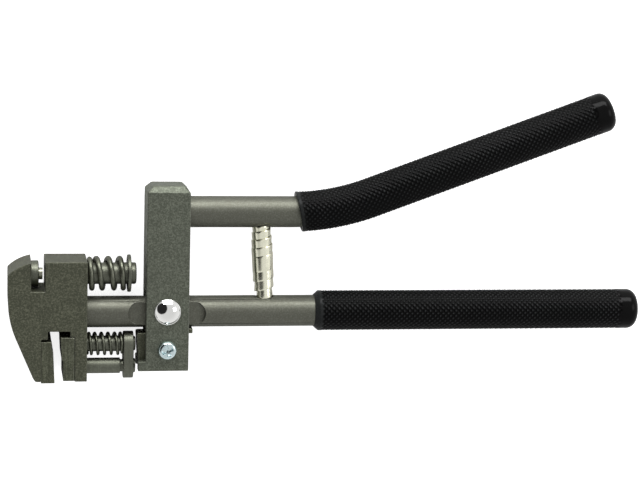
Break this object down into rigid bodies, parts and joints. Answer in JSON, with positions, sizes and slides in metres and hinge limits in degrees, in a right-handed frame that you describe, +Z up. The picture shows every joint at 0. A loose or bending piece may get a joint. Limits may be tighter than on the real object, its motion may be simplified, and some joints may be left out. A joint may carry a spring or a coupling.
{
  "type": "hand punch and joggle pliers",
  "caption": "Hand tool that punches and joggles sheet-metal edges: a swivelling head with a punch throat and stepped jaws, driven by a pivoted lever between two gripped handles.",
  "frame": {"origin": "centre of the bounding box in plan, at the plane of the head's back face on which the tool lies", "axes": "+X along the fixed bar from the head to the grips, +Y from the fixed bar towards the upper handle, +Z up, out of the tool's front"},
  "size_m": [0.328, 0.1482, 0.0271],
  "materials": {
    "bar_steel": "satin",
    "grip_plastic": "satin",
    "lever_steel": "phosphated",
    "head_steel": "phosphated",
    "jaw_steel": "blackened",
    "rod_steel": "satin",
    "pivot_chrome": "polished",
    "screw_zinc": "zinc plated",
    "volute_nickel": "bright",
    "spring_steel": "oiled",
    "punch_steel": "ground",
    "inner_steel": "plain"
  },
  "bodies": {
    "handle_bar": {"fixed_bar": "bar_steel", "lower_grip": "grip_plastic", "volute_spring": "volute_nickel"},
    "lever": {"lever_block": "lever_steel", "upper_handle_bar": "bar_steel", "handle_pin": "inner_steel", "upper_grip": "grip_plastic", "pivot_pin": "pivot_chrome", "pivot_washer": "inner_steel", "pivot_circlip": "spring_steel", "pusher_block": "jaw_steel", "pusher_screw": "screw_zinc"},
    "head": {"head_block": "head_steel", "swivel_pins": "inner_steel", "detent_ball": "inner_steel", "detent_spring": "inner_steel", "detent_grub_screw": "spring_steel", "punch": "punch_steel", "punch_collar": "punch_steel", "punch_grub_screw": "spring_steel", "joggle_anvil": "jaw_steel", "anvil_screws": "spring_steel", "die_spring": "spring_steel", "joggle_spring": "spring_steel"},
    "punch_die": {"die_plunger": "rod_steel", "plunger_washer": "rod_steel", "plunger_circlip": "spring_steel"},
    "joggle_slide": {"joggle_jaw": "jaw_steel", "drive_rod": "rod_steel", "guide_rod": "rod_steel", "jaw_pins": "inner_steel", "link_plate": "rod_steel"}
  },
  "joints": [
    {"name": "lever_close", "type": "hinge", "parent": "handle_bar", "child": "lever", "pos_m": [-0.084, -0.0379, 0.0128], "axis": [0, 0, -1], "range_deg": [0, 8], "stiffness_Nm_per_rad": 9, "springref_deg": -14.32, "deforming": ["volute_spring"]},
    {"name": "head_swivel", "type": "hinge", "parent": "handle_bar", "child": "head", "pos_m": [-0.129, -0.03965, 0.0128], "axis": [1, 0, 0], "range_deg": [0, 180]},
    {"name": "die_slide", "type": "slide", "parent": "head", "child": "punch_die", "axis": [-1, 0, 0], "range_m": [0, 0.0029], "deforming": ["die_spring"]},
    {"name": "jaw_slide", "type": "slide", "parent": "head", "child": "joggle_slide", "axis": [-1, 0, 0], "range_m": [0, 0.0029], "deforming": ["joggle_spring"]}
  ],
  "couplings": [
    {"joint": "die_slide", "follows": "lever_close", "m_per_rad": 0.020412},
    {"joint": "jaw_slide", "follows": "lever_close", "m_per_rad": 0.020412}
  ]
}
